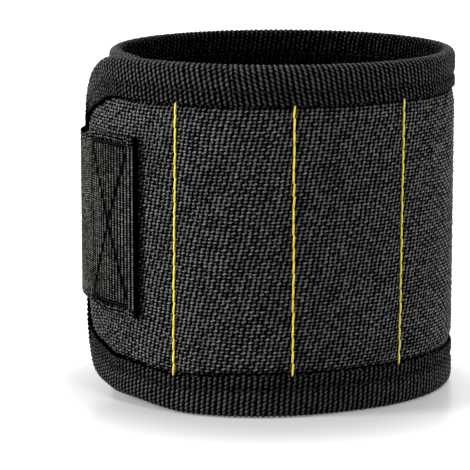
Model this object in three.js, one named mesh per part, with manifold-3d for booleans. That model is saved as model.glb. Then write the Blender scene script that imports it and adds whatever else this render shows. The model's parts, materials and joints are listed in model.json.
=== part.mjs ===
// Magnetic tool wristband: a padded cloth band with round magnets sewn into stitched pockets, bound
// all round with tape and closed by a hook-and-loop strap. Millimetres, +Z up, standing on its edge.
//
// The cloth pieces are drawn flat, as they are sewn, and then rolled round the wrist. In the flat
// frame x runs along the band from the tip of its tail to its clasp end, y is out from the wrist and
// z is up. At the stitched seams the band folds, so each layer is cut there into one piece a pocket.
import * as THREE from "three";
import { mergeVertices } from "three/addons/utils/BufferGeometryUtils.js";
import Module from "manifold-3d";

const wasm = await Module();
wasm.setup();

// Fits
const clearance = 0.3; // air between two pieces that touch

// The band
const bandHeight = 90;
const wristRadius = 42; // clear inside the closed band
const cornerRadius = 30; // of both ends of the band
const claspLength = 50.1; // from the clasp end to the first seam
const frontPockets = 2;
const frontPocketLength = 30; // from seam to seam
const sidePockets = 3;
const sidePocketLength = 38.5;
const backLength = 39; // from the last seam to the soft fold in the tail

// How the band is rolled, in degrees round from +X
const claspAngle = 181; // where the clasp end stops
const overlapAngle = 65; // how far the tail runs on under the clasp end
const easeAngle = 8; // before the tail's tip, where the layer over it starts to come down
const rampAngle = 64; // over which that layer comes down to the wrist
const flapLift = 0.9; // by which the clasp end's free edge stands off the tail

// Layers, from the wrist outwards
const liningEdge = 0.85; // thickness of the padded lining where it is bound
const liningSwell = 1.1; // by which its padding swells inwards between the bound edges
const shellThickness = 0.8;
const pocketSwell = 1.15; // by which the shell swells outwards between the bound edges
const swellWidth = 4.5; // over which the swelling grows from the binding
const seamDip = 0.3; // share of the swelling that a seam pulls in
const seamDipWidth = 5; // to each side of a seam

// Binding tape
const bindingThickness = 0.8;
const bindingWidth = 10.4; // on each face
const bindingRound = 1.1; // of the fold over the edge

// Magnets
const magnetDiameter = 15;
const magnetThickness = 1.5;
const magnetRows = 3;
const magnetPitch = 21;

// Hook-and-loop closure
const strapHeight = 45;
const strapMiddle = 47; // height of the strap's centre line
const strapThickness = 0.8;
const strapCorner = 8;
const patchAngle = 45; // of the strap sewn to the clasp end
const freeAngle = 56; // of the strap past the clasp end
const dropAngle = 29; // over which it comes down on to the tail
const hookThickness = 0.8;
const hookHeight = 41;
const pullAngle = 6; // of the strap's tip left free of hooks, to pull by
const loopThickness = 0.8;
const loopHeight = 50;
const loopTipMargin = 14; // from the tail's tip
const loopSeamMargin = 7; // from the last seam

// Thread
const threadDiameter = 0.7;
const stitchLength = 3.2;
const stitchRise = 0.12; // of each stitch between its two holes
const boxMargin = 3.3; // of the box stitch from the patch's edge
const boxLength = 16;
const boxHeight = 40;

// How finely the curves are cut up
const stepLength = 6;
const rowHeight = 16;
const cornerSteps = 4;
const threadSides = 3;
const roundSides = 16;

// Levels of the layers, out from the middle of the bound edge
const shellInner = clearance / 2;
const shellOuter = shellInner + shellThickness;
const liningOuter = -clearance / 2;
const liningInner = liningOuter - liningEdge;
const bindingOuter = shellOuter + clearance + bindingThickness;
const bindingInner = liningInner - clearance - bindingThickness;
const wristFace = Math.min(bindingInner, liningInner - liningSwell);
const shellFace = shellOuter + pocketSwell;
const outermost = Math.max(bindingOuter, shellFace);
const loopInner = shellFace + clearance;
const loopOuter = loopInner + loopThickness;
const overlapLift = loopOuter + clearance * 1.5 - wristFace;
const bandRadius = wristRadius - wristFace;

const smooth = (share) => THREE.MathUtils.smoothstep(share, 0, 1);

// How far the rolled band stands off the wrist, pastEnd degrees on from its clasp end.
function liftAt(pastEnd) {
  const settled = overlapAngle - easeAngle;
  if (pastEnd < settled) return overlapLift + flapLift * ((settled - pastEnd) / settled) ** 1.5;
  return overlapLift * (1 - smooth((pastEnd - settled) / rampAngle));
}

function polar(radius, degrees) {
  const angle = THREE.MathUtils.degToRad(degrees);
  return new THREE.Vector3(radius * Math.cos(angle), radius * Math.sin(angle), 0);
}

// The middle of the bound edge, seen from above, from the tail's tip to the clasp end.
class BandRoll extends THREE.Curve {
  getPoint(t) {
    const pastEnd = (1 - t) * (360 + overlapAngle);
    return polar(bandRadius + liftAt(pastEnd), claspAngle + pastEnd);
  }
}

// The middle of the strap, from the edge of its sewn patch, over the clasp end and down on to the tail.
class StrapRoll extends THREE.Curve {
  getPoint(t) {
    const pastEnd = patchAngle - t * (patchAngle + freeAngle);
    const sewn = liftAt(Math.max(pastEnd, 0)) + outermost + clearance + strapThickness / 2;
    const closed = loopOuter + hookThickness + clearance * 2 + strapThickness / 2;
    const drop = smooth(-pastEnd / dropAngle);
    return polar(bandRadius + THREE.MathUtils.lerp(sewn, closed, drop), claspAngle + pastEnd);
  }
}

const bandRoll = new BandRoll();
bandRoll.arcLengthDivisions = 1200;
const strapRoll = new StrapRoll();
strapRoll.arcLengthDivisions = 600;
const bandLength = bandRoll.getLength();
const strapLength = strapRoll.getLength();

// Where the rolled curve is, and which way is out, a distance along it.
function stationAt(roll, along) {
  const share = THREE.MathUtils.clamp(along / roll.getLength(), 0, 1);
  const foot = roll.getPointAt(share);
  const ahead = roll.getTangentAt(share);
  return { foot, out: new THREE.Vector3(-ahead.y, ahead.x, 0) };
}

function lengthAt(roll, share) {
  return roll.getLengths()[Math.round(share * roll.arcLengthDivisions)];
}

// Rolls a flat geometry up, and keeps only its places, so that its faces share their corners.
function rollUp(geometry, roll) {
  const flat = geometry.getAttribute("position");
  for (let i = 0; i < flat.count; i++) {
    const { foot, out } = stationAt(roll, flat.getX(i));
    const place = foot.addScaledVector(out, flat.getY(i));
    flat.setXYZ(i, place.x, place.y, flat.getZ(i));
  }
  return closed(geometry);
}

function closed(geometry) {
  const places = new THREE.BufferGeometry();
  places.setAttribute("position", geometry.getAttribute("position"));
  places.setIndex(geometry.index);
  return mergeVertices(places, 1e-4);
}

function solidOf(geometry) {
  return new wasm.Manifold(
    new wasm.Mesh({
      numProp: 3,
      vertProperties: new Float32Array(geometry.getAttribute("position").array),
      triVerts: new Uint32Array(geometry.index.array),
    }),
  );
}

function geometryOf(solid) {
  const mesh = solid.getMesh();
  const geometry = new THREE.BufferGeometry();
  geometry.setAttribute("position", new THREE.BufferAttribute(mesh.vertProperties, 3));
  geometry.setIndex(new THREE.BufferAttribute(mesh.triVerts, 1));
  geometry.computeVertexNormals();
  return geometry;
}

// Seams and folds, by their distance along the band
const pocketCount = frontPockets + sidePockets;
const seams = Array.from({ length: pocketCount + 1 }, (_, i) => {
  const front = Math.min(i, frontPockets);
  return bandLength - claspLength - front * frontPocketLength - (i - front) * sidePocketLength;
});
const lastSeam = seams.at(-1);
const tailFold = lastSeam - backLength;

// The stretches of the band between its folds, from the clasp end to the tail.
const stretches = [
  { name: "clasp", from: seams[0], to: bandLength },
  ...seams.slice(1).map((seam, i) => ({ name: `pocket_${i + 1}`, from: seam, to: seams[i] })),
  { name: "back", from: tailFold, to: lastSeam },
  { name: "tail", from: 0, to: tailFold },
];

// Height of the band's lower edge, drawn in by inset, with its rounded ends.
function lowEdge(x, inset) {
  const corner = cornerRadius - inset;
  const fromEnd = Math.min(x, bandLength - x) - inset;
  if (fromEnd >= corner) return inset;
  const reach = corner - Math.max(fromEnd, 0);
  return inset + corner - Math.sqrt(corner ** 2 - reach ** 2);
}

// Distance of a place on the flat band from its edge, round its corners too.
function fromEdge(x, z) {
  const across = Math.min(x, bandLength - x);
  const upwards = Math.min(z, bandHeight - z);
  if (across > cornerRadius || upwards > cornerRadius) return Math.min(across, upwards);
  return cornerRadius - Math.hypot(cornerRadius - across, cornerRadius - upwards);
}

// Share of the full swelling at a place on the flat band.
function swellAt(x, z) {
  const dip = Math.max(...seams.map((seam) => 1 - smooth(Math.abs(x - seam) / seamDipWidth)));
  return smooth((fromEdge(x, z) - bindingWidth) / swellWidth) * (1 - seamDip * dip);
}

const shellFaceAt = (x, z) => shellOuter + pocketSwell * swellAt(x, z);

// Marks along a line, with each gap between two of them cut into equal steps.
function stepped(marks, step) {
  const sorted = [...marks].sort((a, b) => a - b).filter((mark, i, all) => i === 0 || mark - all[i - 1] > clearance);
  return sorted.flatMap((mark, i) => {
    if (i === 0) return [mark];
    const last = sorted[i - 1];
    const steps = Math.ceil((mark - last) / step);
    return Array.from({ length: steps }, (_, k) => last + ((mark - last) * (k + 1)) / steps);
  });
}

// Distances from an end at which a rounded corner is cut up.
function cornerMarks(radius) {
  return Array.from({ length: cornerSteps }, (_, i) => {
    const turn = ((i + 1) / (cornerSteps + 1)) * (Math.PI / 2);
    return radius * (1 - Math.cos(turn));
  });
}

// A sheet of cloth on a grid of columns and rows, between an inner and an outer face.
function sheet({ columns, rows, inner, outer, roll }) {
  const across = columns.length - 1;
  const upwards = rows(columns[0]).length - 1;
  const geometry = new THREE.BoxGeometry(1, 1, 1, across, 1, upwards);
  const grid = geometry.getAttribute("position");
  for (let i = 0; i < grid.count; i++) {
    const x = columns[Math.round((grid.getX(i) + 0.5) * across)];
    const z = rows(x)[Math.round((grid.getZ(i) + 0.5) * upwards)];
    grid.setXYZ(i, x, THREE.MathUtils.lerp(inner(x, z), outer(x, z), grid.getY(i) + 0.5), z);
  }
  return rollUp(geometry, roll);
}

// A layer stops inside the fold of the binding.
const layerInset = bindingThickness + clearance;

// The columns of a layer of one stretch, clear of the folds and of the binding at the band's ends.
function layerColumns({ from, to }) {
  const start = from === 0 ? layerInset : from + clearance / 2;
  const stop = to === bandLength ? bandLength - layerInset : to - clearance / 2;
  const endMarks = [
    ...cornerMarks(cornerRadius - layerInset).map((mark) => layerInset + mark),
    bindingWidth,
    bindingWidth + swellWidth / 2,
    bindingWidth + swellWidth,
  ];
  const marks = endMarks.flatMap((mark) => [mark, bandLength - mark]);
  return stepped([start, stop, ...marks.filter((mark) => mark > start && mark < stop)], stepLength);
}

// The rows of a layer: the bound edge, the swelling beside it, and the rest, alike at top and bottom.
// They draw together where a rounded end leaves less room for them.
function layerRows(x) {
  const low = lowEdge(x, layerInset);
  const boundWidth = bindingWidth - layerInset;
  const room = (bandHeight / 2 - low) / (boundWidth + swellWidth + rowHeight / 2);
  const squeeze = Math.min(1, room);
  const bound = low + boundWidth * squeeze;
  const swollen = bound + swellWidth * squeeze;
  const edge = [low, bound, (bound + swollen) / 2];
  const steps = Math.ceil((bandHeight - 2 * (bindingWidth + swellWidth)) / rowHeight);
  const middle = Array.from({ length: steps + 1 }, (_, i) =>
    THREE.MathUtils.lerp(swollen, bandHeight - swollen, i / steps),
  );
  return [...edge, ...middle, ...edge.map((z) => bandHeight - z).reverse()];
}

function shell(stretch) {
  return sheet({
    columns: layerColumns(stretch),
    rows: layerRows,
    inner: (x, z) => shellFaceAt(x, z) - shellThickness,
    outer: shellFaceAt,
    roll: bandRoll,
  });
}

function lining(stretch) {
  return sheet({
    columns: layerColumns(stretch),
    rows: layerRows,
    inner: (x, z) => liningInner - liningSwell * swellAt(x, z),
    outer: (x, z) => shellFaceAt(x, z) - shellThickness - clearance,
    roll: bandRoll,
  });
}

// Where each magnet of a pocket sits: as far out as its flat face can lie under the curved shell.
function magnetSeats({ from, to }) {
  const { foot, out } = stationAt(bandRoll, (from + to) / 2);
  const shellBack = foot.length() + shellFace - shellThickness - clearance;
  const face = Math.sqrt(shellBack ** 2 - (magnetDiameter / 2) ** 2) - foot.length();
  const middle = face - magnetThickness / 2;
  return Array.from({ length: magnetRows }, (_, row) => {
    const seat = new THREE.Object3D();
    seat.position.copy(foot).addScaledVector(out, middle);
    seat.position.z = bandHeight / 2 + (row - (magnetRows - 1) / 2) * magnetPitch;
    seat.rotation.z = Math.atan2(-out.x, out.y);
    seat.updateMatrix();
    return seat;
  });
}

function magnet() {
  return new THREE.CylinderGeometry(magnetDiameter / 2, magnetDiameter / 2, magnetThickness, roundSides);
}

// The padding of a pocket, with a round seat sunk in it for each magnet.
function seatedLining(stretch) {
  const radius = magnetDiameter / 2 + clearance;
  const depth = 4 * magnetThickness; // past the outer face of the padding
  const floor = -magnetThickness / 2 - clearance;
  const bore = closed(new THREE.CylinderGeometry(radius, radius, depth, roundSides));
  bore.translate(0, floor + depth / 2, 0);
  const cuts = magnetSeats(stretch).map((seat) => solidOf(bore.clone().applyMatrix4(seat.matrix)));
  return geometryOf(cuts.reduce((pad, cut) => pad.subtract(cut), solidOf(lining(stretch))));
}

// A run along the edge of the flat band, with the tape's section always square to the cloth.
class EdgeRun extends THREE.Curve {
  constructor(outline) {
    super();
    this.outline = outline;
  }

  getPoint(t) {
    const place = this.outline.getPoint(t);
    return new THREE.Vector3(place.x, 0, place.y);
  }

  computeFrenetFrames(steps) {
    const out = new THREE.Vector3(0, 1, 0);
    const tangents = Array.from({ length: steps + 1 }, (_, i) => this.getTangentAt(i / steps));
    const normals = tangents.map(() => out);
    const binormals = tangents.map((tangent) => tangent.clone().cross(out));
    return { tangents, normals, binormals };
  }
}

// Section of the binding tape, folded over an edge: x is out from the wrist, y is into the cloth.
function bindingSection() {
  const inside = bindingThickness;
  return new THREE.Shape([
    new THREE.Vector2(bindingInner + bindingRound, 0),
    new THREE.Vector2(bindingOuter - bindingRound, 0),
    new THREE.Vector2(bindingOuter, bindingRound),
    new THREE.Vector2(bindingOuter, bindingWidth),
    new THREE.Vector2(bindingOuter - inside, bindingWidth),
    new THREE.Vector2(bindingOuter - inside, inside),
    new THREE.Vector2(bindingInner + inside, inside),
    new THREE.Vector2(bindingInner + inside, bindingWidth),
    new THREE.Vector2(bindingInner, bindingWidth),
    new THREE.Vector2(bindingInner, bindingRound),
  ]);
}

function binding(outline) {
  const run = new EdgeRun(outline);
  const steps = Math.ceil(outline.getLength() / stepLength);
  return rollUp(new THREE.ExtrudeGeometry(bindingSection(), { extrudePath: run, steps }), bandRoll);
}

// The band's edge along its bottom, round its clasp end and back along its top.
function claspOutline({ from }) {
  const start = from + clearance / 2;
  return new THREE.Path()
    .moveTo(start, 0)
    .lineTo(bandLength - cornerRadius, 0)
    .absarc(bandLength - cornerRadius, cornerRadius, cornerRadius, -Math.PI / 2, 0)
    .lineTo(bandLength, bandHeight - cornerRadius)
    .absarc(bandLength - cornerRadius, bandHeight - cornerRadius, cornerRadius, 0, Math.PI / 2)
    .lineTo(start, bandHeight);
}

function tailOutline({ to }) {
  const start = to - clearance / 2;
  return new THREE.Path()
    .moveTo(start, bandHeight)
    .lineTo(cornerRadius, bandHeight)
    .absarc(cornerRadius, bandHeight - cornerRadius, cornerRadius, Math.PI / 2, Math.PI)
    .lineTo(0, cornerRadius)
    .absarc(cornerRadius, cornerRadius, cornerRadius, Math.PI, Math.PI * 1.5)
    .lineTo(start, 0);
}

const bottomOutline = ({ from, to }) =>
  new THREE.Path().moveTo(from + clearance / 2, 0).lineTo(to - clearance / 2, 0);
const topOutline = ({ from, to }) =>
  new THREE.Path().moveTo(to - clearance / 2, bandHeight).lineTo(from + clearance / 2, bandHeight);

// The thread of a seam, up the shell from binding to binding, lying on one side of the fold.
class SeamThread extends THREE.Curve {
  constructor(x) {
    super();
    this.x = x;
    const start = bindingWidth + threadDiameter;
    this.stitches = Math.round((bandHeight - 2 * start) / stitchLength);
    this.low = start;
    this.high = bandHeight - start;
  }

  getPoint(t) {
    const z = THREE.MathUtils.lerp(this.low, this.high, t);
    const rise = stitchRise * Math.abs(Math.sin(Math.PI * t * this.stitches));
    const out = shellFaceAt(this.x, z) + clearance + threadDiameter / 2 + rise;
    return new THREE.Vector3(this.x, out, z);
  }
}

function seamThread(x) {
  const run = new SeamThread(x);
  const corners = Array.from({ length: threadSides }, (_, i) => {
    const turn = (i / threadSides) * 2 * Math.PI;
    return new THREE.Vector2(Math.cos(turn), Math.sin(turn)).multiplyScalar(threadDiameter / 2);
  });
  const section = new THREE.Shape(corners);
  return rollUp(new THREE.ExtrudeGeometry(section, { extrudePath: run, steps: run.stitches * 2 }), bandRoll);
}

// A length of tape of even thickness, with rounded corners at its far end if it has a free tip.
function tape({ from, to, height, inner, outer, roll, tipCorner = 0 }) {
  const tipMarks = tipCorner > 0 ? [to - tipCorner, ...cornerMarks(tipCorner).map((mark) => to - mark)] : [];
  const steps = Math.ceil(height / rowHeight);
  const rows = (x) => {
    const reach = Math.max(0, tipCorner - (to - x));
    const half = height / 2 - tipCorner + Math.sqrt(tipCorner ** 2 - reach ** 2);
    return Array.from({ length: steps + 1 }, (_, i) => strapMiddle + half * ((2 * i) / steps - 1));
  };
  return sheet({
    columns: stepped([from, to, ...tipMarks], stepLength),
    rows,
    inner: () => inner,
    outer: () => outer,
    roll,
  });
}

const loopTape = (from, to) =>
  tape({ from, to, height: loopHeight, inner: loopInner, outer: loopOuter, roll: bandRoll });

const strapFace = strapThickness / 2;
const patchLength = lengthAt(strapRoll, patchAngle / (patchAngle + freeAngle));
const strapTape = (from, to, tipCorner) =>
  tape({ from, to, height: strapHeight, inner: -strapFace, outer: strapFace, roll: strapRoll, tipCorner });

function hookTape() {
  const whole = patchAngle + freeAngle;
  const face = -strapFace - clearance;
  return tape({
    from: lengthAt(strapRoll, (patchAngle + dropAngle) / whole),
    to: lengthAt(strapRoll, (whole - pullAngle) / whole),
    height: hookHeight,
    inner: face - hookThickness,
    outer: face,
    roll: strapRoll,
  });
}

// The strap's box stitch: a rectangle of thread with its two diagonals, joined into one piece.
function boxStitch() {
  const west = boxMargin;
  const east = boxMargin + boxLength;
  const low = strapMiddle - boxHeight / 2;
  const high = strapMiddle + boxHeight / 2;
  const lines = [
    [west, low, east, low],
    [west, high, east, high],
    [west, low, west, high],
    [east, low, east, high],
    [west, low, east, high],
    [west, high, east, low],
  ];
  const bars = lines.map(([x0, z0, x1, z1]) => {
    const span = new THREE.Vector2(x1 - x0, z1 - z0);
    const steps = Math.max(1, Math.ceil(Math.abs(span.x) / (stepLength / 2)));
    const bar = new THREE.BoxGeometry(span.length() + threadDiameter, threadDiameter, threadDiameter, steps, 1, 1);
    bar.rotateY(-span.angle());
    bar.translate((x0 + x1) / 2, strapFace + clearance + threadDiameter / 2, (z0 + z1) / 2);
    return solidOf(rollUp(bar, strapRoll));
  });
  return geometryOf(bars.reduce((joined, bar) => joined.add(bar)));
}

// Materials
const finish = (color, roughness, metalness = 0) =>
  new THREE.MeshStandardMaterial({ color, roughness, metalness });
const nylon = finish(0x1c1c1d, 0.75);
const mesh = finish(0x121212, 0.9);
const bindingCloth = finish(0x161616, 0.85);
const webbing = finish(0x24221f, 0.85);
const hooks = finish(0x0f0f0f, 0.7);
const loops = finish(0x151515, 0.95);
const yellowThread = finish(0xe8d22a, 0.6);
const blackThread = finish(0x0e0e0e, 0.6);
const nickel = finish(0xb9bcc0, 0.3, 1);

function piece(name, geometry, material) {
  const made = new THREE.Mesh(geometry, material);
  made.name = name;
  return made;
}

// Assembly: one group for each stretch of the band, and one for the free strap.
const wristband = new THREE.Group();
const groups = {};
for (const stretch of stretches) {
  const group = new THREE.Group();
  const { name } = stretch;
  const pocket = name.startsWith("pocket");
  group.add(piece(`${name}_shell`, shell(stretch), nylon));
  group.add(piece(`${name}_lining`, pocket ? seatedLining(stretch) : lining(stretch), mesh));
  if (name === "clasp" || name === "tail") {
    const outline = name === "clasp" ? claspOutline(stretch) : tailOutline(stretch);
    group.add(piece(`${name}_binding`, binding(outline), bindingCloth));
  } else {
    group.add(piece(`${name}_binding_top`, binding(topOutline(stretch)), bindingCloth));
    group.add(piece(`${name}_binding_bottom`, binding(bottomOutline(stretch)), bindingCloth));
  }
  if (pocket) {
    magnetSeats(stretch).forEach((seat, row) => {
      const disc = piece(`${name}_magnet_${row + 1}`, magnet(), nickel);
      disc.position.copy(seat.position);
      disc.rotation.copy(seat.rotation);
      group.add(disc);
    });
  }
  groups[name] = group;
  wristband.add(group);
}

// Each seam's thread lies on the pocket that it closes, beside the fold.
const seamOffset = clearance / 2 + threadDiameter / 2;
seams.forEach((seam, i) => {
  const pocket = Math.min(i + 1, pocketCount);
  const side = i < pocketCount ? -1 : 1;
  groups[`pocket_${pocket}`].add(piece(`seam_${i + 1}`, seamThread(seam + side * seamOffset), yellowThread));
});

groups.tail.add(piece("loop_tape_tail", loopTape(loopTipMargin, tailFold - clearance / 2), loops));
groups.back.add(piece("loop_tape_back", loopTape(tailFold + clearance / 2, lastSeam - loopSeamMargin), loops));
groups.clasp.add(piece("strap_patch", strapTape(0, patchLength - clearance / 2), webbing));
groups.clasp.add(piece("strap_box_stitch", boxStitch(), blackThread));
groups.strap = new THREE.Group();
groups.strap.add(piece("strap", strapTape(patchLength + clearance / 2, strapLength, strapCorner), webbing));
groups.strap.add(piece("hook_tape", hookTape(), hooks));
wristband.add(groups.strap);

// The part stands on the floor with its origin under the middle of its box.
const box = new THREE.Box3().setFromObject(wristband);
const middle = box.getCenter(new THREE.Vector3());
wristband.position.set(-middle.x, -middle.y, -box.min.z);

// Upright axes that the band and strap fold about, just outside the cloth, in the part's frame.
function foldAxis(roll, along, level) {
  const { foot, out } = stationAt(roll, along);
  const axis = foot.addScaledVector(out, level + clearance / 2).add(wristband.position);
  return [axis.x, axis.y];
}
wristband.userData = {
  bandLength,
  strapLength,
  middle: [middle.x, middle.y],
  folds: [
    ...seams.map((seam) => foldAxis(bandRoll, seam, outermost)),
    foldAxis(bandRoll, tailFold, loopOuter),
  ],
  peel: foldAxis(strapRoll, patchLength, strapFace),
};

export default wristband;
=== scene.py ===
import json
import math

import bpy
import numpy as np
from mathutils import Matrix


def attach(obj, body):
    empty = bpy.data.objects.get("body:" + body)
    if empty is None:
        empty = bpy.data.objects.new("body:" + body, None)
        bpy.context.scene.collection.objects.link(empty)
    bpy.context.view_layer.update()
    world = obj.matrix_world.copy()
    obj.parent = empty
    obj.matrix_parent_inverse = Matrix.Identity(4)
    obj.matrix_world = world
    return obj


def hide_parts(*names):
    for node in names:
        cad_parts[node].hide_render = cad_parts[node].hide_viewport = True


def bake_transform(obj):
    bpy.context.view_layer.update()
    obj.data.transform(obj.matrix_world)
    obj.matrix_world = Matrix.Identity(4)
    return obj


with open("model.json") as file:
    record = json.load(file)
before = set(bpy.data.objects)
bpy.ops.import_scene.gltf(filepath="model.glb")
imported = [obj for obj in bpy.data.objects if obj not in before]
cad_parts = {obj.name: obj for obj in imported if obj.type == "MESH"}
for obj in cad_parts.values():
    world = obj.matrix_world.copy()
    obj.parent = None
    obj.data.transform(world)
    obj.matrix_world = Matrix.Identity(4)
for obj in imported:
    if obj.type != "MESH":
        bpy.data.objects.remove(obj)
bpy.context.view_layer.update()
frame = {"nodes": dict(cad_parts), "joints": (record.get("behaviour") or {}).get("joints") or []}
print("frame loaded with", len(frame["nodes"]), "solids")

# The cloth is drawn flat in millimetres, x along the band from its tail, y out from the wrist, z up,
# and then rolled round the wrist as the solids are. A pair named a step is where something starts and
# over how far it comes in.
mm = 0.001
band = {
    "height": 90.0,
    "radius": 44.1,  # of the middle of the bound edge
    "corner": 30.0,
    "claspLength": 50.1,
    "pocketLengths": (30.0, 30.0, 38.5, 38.5, 38.5),
    "backLength": 39.0,
    "claspAngle": 181.0,
    "overlapAngle": 65.0,
    "easeAngle": 8.0,
    "rampAngle": 64.0,
    "overlapLift": 5.75,
    "flapLift": 0.9,
    "flapCurve": 1.5,
    "foldReach": 6.0,  # to each side of a seam that bends with it
    "rollSteps": 9000,
}
layers = {
    "gap": 0.3,
    "shellEdge": 0.95,
    "shellThickness": 0.8,
    "shellSwell": 1.15,
    "liningEdge": -1.0,
    "liningSwell": 1.1,
    "swellWidth": 4.5,
    "rimRise": 0.55,  # share of the swell that comes close beside the binding
    "rimStep": (0.5, 0.8),
    "seamDip": 0.3,
    "seamDipWidth": 5.0,
    "hiddenEdge": 1.7,  # of each layer, inside the fold of the binding
    "fineUnder": 0.5,  # fine rows start this far under the binding
}
binding = {
    "outer": 2.05,
    "inner": -2.1,
    "width": 10.4,
    "topWidth": 10.1,  # as sewn on the outside
    "topStep": (30.0, 30.0),
    "bottomWidth": 11.2,
    "flapWidth": 9.9,  # along the bottom of the closing end
    "flapStep": (70.0, 25.0),
    "endWidth": 6.4,
    "endStep": (25.0, 40.0),  # in degrees round the corner
    "thickness": 0.8,
    "foldDepth": 2.2,
    "grooveDepth": 6.8,  # of the stitch line from the rim
    "grooveDip": 0.3,
    "grooveWidth": 0.75,
    "ribPitch": 1.4,
    "beadPitch": 1.12,
    "relief": 0.5,
    "ribLean": 0.17,
    "lowLean": 0.45,  # share of the lean along the bottom
    "ribSteps": 6,  # columns to a rib
    "tailShare": 0.8,  # of these columns round the hidden tail
    "beadSteps": 4,  # rows to a bead
    "fineShare": 0.62,  # of the section that has them
    "coarser": 1.9,  # rows past that share, on the wrist side
    "backSpacing": 1.6,
    "foldPoints": 60,  # of the section's outline round the rim, and round each hem
    "hemPoints": 8,
    "cornerPoints": 80,  # of the band's outline round each corner
    "edgeStep": 0.02,
}


def smooth(share):
    share = np.clip(share, 0.0, 1.0)
    return share * share * (3 - 2 * share)


def above(value, start, over):
    return smooth((value - start) / over)


def below(value, start, over):
    return smooth((start - value) / over)


def bell(far, width):
    return np.exp(-((far / width) ** 2))


def dome(a, b):
    return np.sqrt(np.clip(1 - a**2 - b**2, 0, 1))


def unit(rows):
    return rows / np.linalg.norm(rows, axis=1, keepdims=True)


def lengthsAlong(points):
    return np.concatenate([[0.0], np.cumsum(np.linalg.norm(np.diff(points, axis=0), axis=1))])


def alongLine(at, far, points):
    return [np.interp(at, far, points[:, k]) for k in (0, 1)]


def liftAt(pastEnd):
    settled = band["overlapAngle"] - band["easeAngle"]
    flap = np.clip((settled - pastEnd) / settled, 0, None) ** band["flapCurve"]
    under = band["overlapLift"] + band["flapLift"] * flap
    ramp = band["overlapLift"] * (1 - above(pastEnd, settled, band["rampAngle"]))
    return np.where(pastEnd < settled, under, ramp)


def rollTable(radius, degrees):
    turn = np.radians(degrees)
    foot = np.stack([radius * np.cos(turn), radius * np.sin(turn)], axis=1)
    return {"along": lengthsAlong(foot), "foot": foot, "ahead": unit(np.gradient(foot, axis=0))}


# The closing end of the real cloth sits a little askew.
askew = {
    "flapRise": 1.6,  # of its lower edge off the floor
    "flapStep": (54.0, 22.0),
    "cornerFill": 2.1,  # lower again at the very end
    "cornerStep": (24.0, 12.0),
    "lowStep": (40.0, 30.0),
    "rimRise": 0.6,  # of the upper edge towards the closing end
    "rimStep": (110.0, 60.0),
    "highStep": (74.0, 16.0),
}
wristAxis = np.zeros(2)


def askewAt(x, z):
    fromEnd = bandLength - x
    low = askew["flapRise"] * below(fromEnd, *askew["flapStep"])
    low = low - askew["cornerFill"] * below(fromEnd, *askew["cornerStep"])
    high = askew["rimRise"] * below(fromEnd, *askew["rimStep"])
    return low * below(z, *askew["lowStep"]) + high * above(z, *askew["highStep"])


def rolled(flat, roll):
    x, z = flat[..., 0], flat[..., 2]
    if roll.get("askew"):
        z = z + askewAt(x, z)
    footX, footY = alongLine(x, roll["along"], roll["foot"])
    aheadX, aheadY = alongLine(x, roll["along"], roll["ahead"])
    out = flat[..., 1]
    return mm * np.stack([footX - aheadY * out + wristAxis[0], footY + aheadX * out + wristAxis[1], z], -1)


pastEnd = np.linspace(360 + band["overlapAngle"], 0, band["rollSteps"] + 1)
bandRoll = rollTable(band["radius"] + liftAt(pastEnd), band["claspAngle"] + pastEnd)
bandRoll["askew"] = True
bandLength = bandRoll["along"][-1]
seamAt = list(bandLength - band["claspLength"] - np.cumsum((0.0, *band["pocketLengths"])))
pocketCount = len(band["pocketLengths"])
outermost = max(binding["outer"], layers["shellEdge"] + layers["shellSwell"])
tailFold = seamAt[-1] - band["backLength"]
foldAt = seamAt + [tailFold]
foldCount = len(foldAt)
lastFold = foldCount - 1
seamDrift = ((0.6, 0.6), (0.43, 0.17), (-0.32, 0.55), (0, 0.2), (0, -0.3), (0, 0.2))  # aside, and at the foot


def seamLine(index, z):
    aside, foot = seamDrift[index]
    return seamAt[index] + aside + foot * (1 - 2 * z / band["height"])


# The wrist's axis in the part's frame, from where the main fold turns
mainFold = next(j for j in frame["joints"] if j["name"] == "seam_3_fold")
foldFoot = rolled(np.array([seamAt[2], outermost + layers["gap"] / 2, 0.0]), bandRoll)
wristAxis = (np.array(mainFold["pos_m"][:2]) - foldFoot[:2]) / mm

# Each piece of a layer runs from the middle of one stretch to the middle of the next, over one fold.
stretchNames = ["clasp"] + [f"pocket_{i + 1}" for i in range(pocketCount)] + ["back", "tail"]
stretchEnds = [bandLength] + foldAt + [0.0]
middles = [(stretchEnds[i] + stretchEnds[i + 1]) / 2 for i in range(1, foldCount)]
cutAt = [bandLength] + middles + [0.0]


def lowEdge(x, inset):
    corner = band["corner"] - inset
    fromEnd = np.minimum(x, bandLength - x) - inset
    reach = np.clip(corner - np.maximum(fromEnd, 0), 0, None)
    return inset + corner - np.sqrt(corner**2 - reach**2)


def fromEdge(x, z):
    across = np.minimum(x, bandLength - x)
    upwards = np.minimum(z, band["height"] - z)
    inCorner = (across < band["corner"]) & (upwards < band["corner"])
    rounded = band["corner"] - np.hypot(band["corner"] - across, band["corner"] - upwards)
    return np.where(inCorner, rounded, np.minimum(across, upwards))


# How far the binding reaches in from the edge on the outside.
def boundAt(x, z):
    atFlap = below(bandLength - x, *binding["flapStep"])
    lower = binding["bottomWidth"] + (binding["flapWidth"] - binding["bottomWidth"]) * atFlap
    sewn = lower + (binding["topWidth"] - lower) * above(z, *binding["topStep"])
    across = np.clip(band["corner"] - bandLength + x, 0, band["corner"])
    upwards = np.clip(band["corner"] - np.minimum(z, band["height"] - z), 0, band["corner"])
    turned = np.degrees(np.arctan2(across, upwards))
    return sewn + (binding["endWidth"] - sewn) * above(turned, *binding["endStep"])


def stretchAt(x, z):
    return (boundAt(x, z) - binding["foldDepth"]) / (binding["width"] - binding["foldDepth"])


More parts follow.
